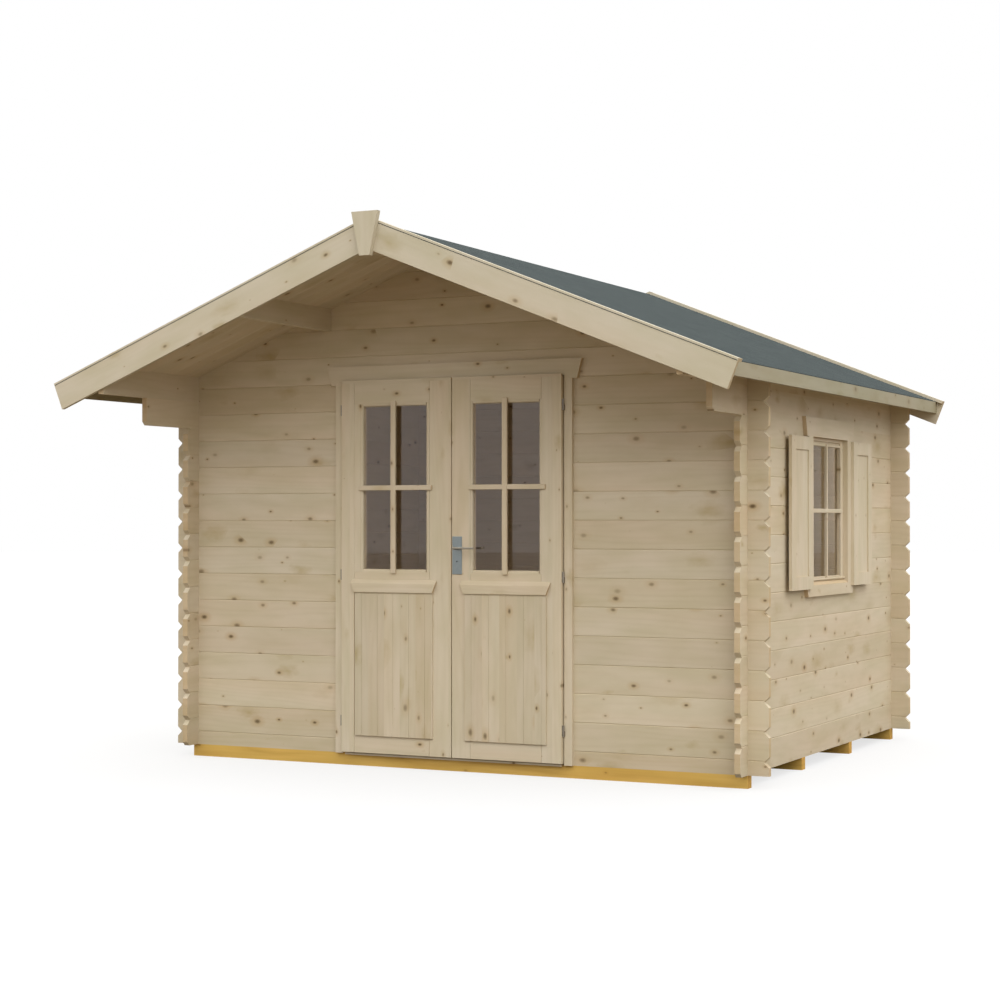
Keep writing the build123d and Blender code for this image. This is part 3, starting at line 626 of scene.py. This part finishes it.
for side, seam_out, seam_in, first_groove, groove_pitch, seed in (
    ("left", -0.224, 0.196, -0.176, 0.0875, 83.0),
    ("right", 0.188, -0.188, -0.178, 0.0925, 89.0),
):
    panel_spruce = timber("panel_spruce_" + side, "Z", "X", seed=seed, board=groove_pitch,
                          spread=0.55)
    leaf_low, leaf_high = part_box("door_" + side + "_leaf")
    pane_low, pane_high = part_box("door_" + side + "_glass")
    middle = (pane_low.x + pane_high.x) / 2
    pane_foot, pane_head = pane_low.z + glass_lap, pane_high.z - glass_lap
    bead_foot, bead_head = pane_foot - bead_wide, pane_head + bead_wide
    pane_west, pane_east = middle - glass_half, middle + glass_half
    bead_west, bead_east = pane_west - bead_wide, pane_east + bead_wide
    leaf_back = leaf_high.y
    leaf_front = leaf_back - leaf_thick
    outer, inner = (leaf_low.x, leaf_high.x) if side == "left" else (leaf_high.x, leaf_low.x)
    west, east = sorted((middle + seam_out, middle + seam_in))
    leaf = bmesh.new()

    # Stiles, rails and the strips that fill in beside the beads
    for a, b in ((outer, middle + seam_out), (middle + seam_in, inner)):
        plank(leaf, (min(a, b), leaf_front, leaf_low.z), (max(a, b), leaf_back, leaf_high.z),
              leaf_arris, stile)
    for foot, head in ((leaf_low.z, panel_foot), (drip_foot, bead_foot),
                       (bead_head, leaf_high.z)):
        plank(leaf, (west + joint_gap, leaf_front, foot), (east - joint_gap, leaf_back, head),
              leaf_arris, rail)
    for a, b in ((west + joint_gap, bead_west), (bead_east, east - joint_gap)):
        plank(leaf, (a, leaf_front, bead_foot), (b, leaf_back, bead_head), filler_arris, stile)
    plank(leaf, (leaf_low.x, leaf_front, leaf_high.z - weather_lap),
          (leaf_high.x, leaf_front + weather_thick, leaf_high.z + weather_rise), trim_arris, rail)

    # Backing, panel boards and drip board
    plank(leaf, (west, leaf_front + backing_inset, panel_foot - backing_lap),
          (east, leaf_back - backing_inset, drip_foot + backing_lap), backing_arris, stile)
    grooves = [first_groove + n * groove_pitch for n in range(panel_board_count - 1)]
    grooves = [-panel_half] + grooves + [panel_half]
    for a, b in zip(grooves, grooves[1:]):
        plank(leaf, (middle + a, leaf_front - panel_proud, panel_foot),
              (middle + b, leaf_front + housing, drip_foot + housing), panel_vee, panel)
    plank(leaf, (middle - drip_half, leaf_front - drip_proud, drip_foot),
          (middle + drip_half, leaf_front + drip_root, drip_head), trim_arris, rail,
          taper=drip_slant, rise=drip_slant)

    # Glass beads on both faces, and the bars planted on the front
    for front, back, slope in (
        (leaf_front + front_bead_sink, pane_low.y, front_bead_slope),
        (pane_high.y, leaf_back - back_bead_sink, back_bead_slope),
    ):
        bead(leaf, (bead_west, front, bead_foot), (pane_west, back, bead_head),
             (0, 1), slope, stile)
        bead(leaf, (pane_east, front, bead_foot), (bead_east, back, bead_head),
             (0, -1), slope, stile)
        bead(leaf, (pane_west, front, bead_foot), (pane_east, back, pane_foot),
             (2, 1), slope, rail)
        bead(leaf, (pane_west, front, pane_head), (pane_east, back, bead_head),
             (2, -1), slope, rail)
    bar_front = leaf_front - bar_thick
    plank(leaf, (middle - bar_half, bar_front, pane_foot - bar_foot_lap),
          (middle + bar_half, leaf_front, pane_head + bar_head_lap), trim_arris, stile)
    plank(leaf, (middle - cross_west, bar_front + cross_sink, cross_level - cross_half),
          (middle + cross_east, leaf_front, cross_level + cross_half), trim_arris, rail)
    piece("leaf_" + side, leaf, (leaf_stile_spruce, leaf_rail_spruce, panel_spruce),
          "door_" + side, ("door_" + side + "_leaf",))


# Door and window panes: clear float glass, held in the grooves of the leaves and
# the sash. Daylight passes straight through it into the room.
daylight_through = (1.0, 0.98, 0.96, 1.0)


def float_glass(name, tint, ior, gloss):
    made = bpy.data.materials.new(name)
    tree = clear_tree(made)
    pane = add_node(tree, "ShaderNodeBsdfPrincipled")
    pane.inputs["Base Color"].default_value = tint
    pane.inputs["Roughness"].default_value = 0.0
    pane.inputs["IOR"].default_value = ior
    pane.inputs["Specular Tint"].default_value = gloss
    pane.inputs["Transmission Weight"].default_value = 1.0
    clear = add_node(tree, "ShaderNodeBsdfTransparent", in_0=daylight_through)
    mix = add_node(tree, "ShaderNodeMixShader")
    out = add_node(tree, "ShaderNodeOutputMaterial")
    tree.links.new(any_ray(tree, "Is Shadow Ray", "Is Diffuse Ray"), mix.inputs[0])
    tree.links.new(pane.outputs[0], mix.inputs[1])
    tree.links.new(clear.outputs[0], mix.inputs[2])
    tree.links.new(mix.outputs[0], out.inputs[0])
    return made


door_pane = float_glass("door_pane", tint=(1.0, 0.95, 0.92, 1.0), ior=1.52,
                        gloss=(1.0, 0.93, 0.91, 1.0))
window_pane = float_glass("window_pane", tint=(1.0, 0.97, 0.92, 1.0), ior=1.09,
                          gloss=(1.0, 0.84, 0.66, 1.0))
for node in ("door_left_glass", "door_right_glass"):
    finish_node(node, door_pane)
finish_node("window_glass", window_pane)


# Hinges and handle: zinc-plated pin hinges screwed to the leaves, and a satin lever
# handle whose spindle passes through a long plate on each face of the right leaf.
smear_scale, smear_spread, smear_shade = 60.0, 0.08, 0.86


def metal(name, colour, roughness):
    made = bpy.data.materials.new(name)
    tree = clear_tree(made)
    where = add_node(tree, "ShaderNodeTexCoord")
    smear = add_node(tree, "ShaderNodeTexNoise")
    smear.inputs["Scale"].default_value = smear_scale
    smear.inputs["Detail"].default_value = 4.0
    span = add_node(tree, "ShaderNodeMapRange")
    span.inputs["To Min"].default_value = roughness - smear_spread
    span.inputs["To Max"].default_value = roughness + smear_spread
    dulled = tuple(smear_shade * part for part in colour[:3]) + (1.0,)
    tint = add_node(tree, "ShaderNodeMix", data_type="RGBA", in_6=colour, in_7=dulled)
    skin = add_node(tree, "ShaderNodeBsdfPrincipled")
    skin.inputs["Metallic"].default_value = 1.0
    out = add_node(tree, "ShaderNodeOutputMaterial")
    tree.links.new(where.outputs["Object"], smear.inputs["Vector"])
    tree.links.new(smear.outputs["Fac"], span.inputs["Value"])
    tree.links.new(smear.outputs["Fac"], tint.inputs[0])
    tree.links.new(tint.outputs[2], skin.inputs["Base Color"])
    tree.links.new(span.outputs[0], skin.inputs["Roughness"])
    tree.links.new(skin.outputs[0], out.inputs[0])
    return made


def rod(bm, place, length, radius, sides, finish=0):
    made = bmesh.ops.create_cone(bm, cap_ends=True, segments=sides, radius1=radius,
                                 radius2=radius, depth=length, matrix=place)["verts"]
    for face in {face for vert in made for face in vert.link_faces}:
        face.material_index = finish


hinge_zinc = metal("hinge_zinc", (0.34, 0.31, 0.27, 1.0), 0.50)
plate_satin = metal("plate_satin", (0.330, 0.378, 0.396, 1.0), 0.42)
lever_bright = metal("lever_bright", (0.40, 0.37, 0.31, 1.0), 0.38)
# The keyhole is a black disc: painted shade for the depth of the slot.
keyhole_shade_black = metal("keyhole_shade_black", (0.05, 0.055, 0.065, 1.0), 0.55)
for node in ("hinge_pins", "door_left_hinges", "door_right_hinges"):
    finish_node(node, hinge_zinc)

# The right leaf was made last, so its faces still give the handle its place.
plate_low, plate_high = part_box("handle_plates")
lever_low, lever_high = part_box("handle_lever")
plate_mid_x = (plate_low.x + plate_high.x) / 2
lever_mid_z = (lever_low.z + lever_high.z) / 2
satin, black = 0, 1
plate_thick, plate_arris = 0.004, 0.0018
screw_radius, barrel_radius, keyway_radius = 0.0038, 0.0085, 0.0035
screw_lift, screw_drop, barrel_drop = 0.042, -0.108, -0.064
screw_proud, keyway_proud = 0.0048, 0.0054
turn_to_y = Matrix.Rotation(radians(90.0), 4, "X")
plates = bmesh.new()
for face_y, outward in ((leaf_front, -1), (leaf_back, 1)):
    near, far = sorted((face_y, face_y + outward * plate_thick))
    plank(plates, (plate_low.x, near, plate_low.z), (plate_high.x, far, plate_high.z),
          plate_arris, satin)
    for lift, size, tip, finish in (
        (barrel_drop, barrel_radius, screw_proud, satin),
        (barrel_drop, keyway_radius, keyway_proud, black),
        (screw_lift, screw_radius, screw_proud, satin),
        (screw_drop, screw_radius, screw_proud, satin),
    ):
        centre = (plate_mid_x, face_y + outward * tip / 2, lever_mid_z + lift)
        rod(plates, Matrix.Translation(centre) @ turn_to_y, tip, size, 20, finish)
piece("plates", plates, (plate_satin, keyhole_shade_black), "door_right",
      ("handle_plates",))

spindle_radius, neck_radius, neck_inset = 0.005, 0.0078, 0.006
grip_thick, grip_half, grip_heel, grip_arris = 0.011, 0.005, 0.008, 0.003
outer_trim, inner_trim = 0.018, 0.030
lever = bmesh.new()
centre = (plate_mid_x, (lever_low.y + lever_high.y) / 2, lever_mid_z)
spindle_length = lever_high.y - lever_low.y - 2 * neck_inset
rod(lever, Matrix.Translation(centre) @ turn_to_y, spindle_length, spindle_radius, 24)
for end_y, outward, trim in ((lever_low.y, 1, outer_trim), (lever_high.y, -1, inner_trim)):
    root_y = leaf_front - plate_thick if outward > 0 else leaf_back + plate_thick
    neck_end = outward * neck_inset
    centre = (plate_mid_x, (root_y + end_y + neck_end) / 2, lever_mid_z)
    neck_length = abs(root_y - end_y - neck_end)
    rod(lever, Matrix.Translation(centre) @ turn_to_y, neck_length, neck_radius, 24)
    near, far = sorted((end_y, end_y + outward * grip_thick))
    plank(lever, (plate_mid_x - grip_heel, near, lever_mid_z - grip_half),
          (lever_high.x - trim, far, lever_mid_z + grip_half), grip_arris)
piece("lever", lever, (lever_bright,), "handle", ("handle_lever",))


# Window: a fixed sash in a grooved spruce frame, with slant-ended header and sill
# boards, and a pair of framed shutters screwed flat to the wall beside it.
side_upright_spruce = timber("side_upright_spruce", "Z", "Y", seed=71.0, board=2.0, knots=0.4,
                             spread=0.15)
side_level_spruce = timber("side_level_spruce", "Y", "Z", seed=73.0, board=0.8, knots=0.4,
                           spread=0.15)
for node in ("window_frame", "shutters"):
    finish_node(node, side_upright_spruce)
finish_node("window_trim", side_level_spruce)

sash_low, sash_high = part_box("window_sash")
light_low, light_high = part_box("window_glass")
light_foot, light_head = light_low.z + glass_lap, light_high.z - glass_lap
light_west, light_east = light_low.y + glass_lap, light_high.y - glass_lap
window_mid_y = (sash_low.y + sash_high.y) / 2
upright, level = 0, 1
sash_arris, bar_arris = 0.002, 0.003
foot_rebate, head_rebate, head_cover = 0.012, 0.011, 0.023
sash_bar_half, sash_bar_thick, sash_bar_foot_lap, sash_bar_head_lap = 0.008, 0.015, 0.006, 0.012
sash_cross_foot, sash_cross_head, sash_cross_thick = 1.2455, 1.2665, 0.017
sash_cross_west, sash_cross_east, tenon = 0.014, 0.010, 0.001
rain_foot, rain_head, rain_proud, rain_inset = 0.021, 0.031, 0.010, 0.002
sash = bmesh.new()
for a, b in ((sash_low.y, light_west), (light_east, sash_high.y)):
    plank(sash, (sash_low.x, a, sash_low.z), (sash_high.x, b, sash_high.z), sash_arris, upright)
for foot, head, sunk in (
    (sash_low.z, light_foot - foot_rebate, 0.0),
    (light_foot - foot_rebate, light_foot, 0.004),
    (light_head, light_head + head_rebate, 0.002),
    (light_head + head_rebate, light_head + head_cover, 0.008),
    (light_head + head_cover, sash_high.z, 0.0),
):
    plank(sash, (sash_low.x, light_west - tenon, foot),
          (sash_high.x - sunk, light_east + tenon, head), sash_arris, level)
plank(sash, (light_high.x, window_mid_y - sash_bar_half, light_foot - sash_bar_foot_lap),
      (light_high.x + sash_bar_thick, window_mid_y + sash_bar_half,
       light_head + sash_bar_head_lap), sash_arris, upright)
plank(sash, (light_high.x - tenon, light_west - sash_cross_west, sash_cross_foot),
      (light_high.x + sash_cross_thick, light_east + sash_cross_east, sash_cross_head),
      bar_arris, level)
plank(sash, (sash_high.x - rain_inset, sash_low.y + rain_inset, sash_low.z + rain_foot),
      (sash_high.x + rain_proud, sash_high.y - rain_inset, sash_low.z + rain_head),
      bar_arris, level)
piece("sash", sash, (side_upright_spruce, side_level_spruce), "building",
      ("window_sash",))
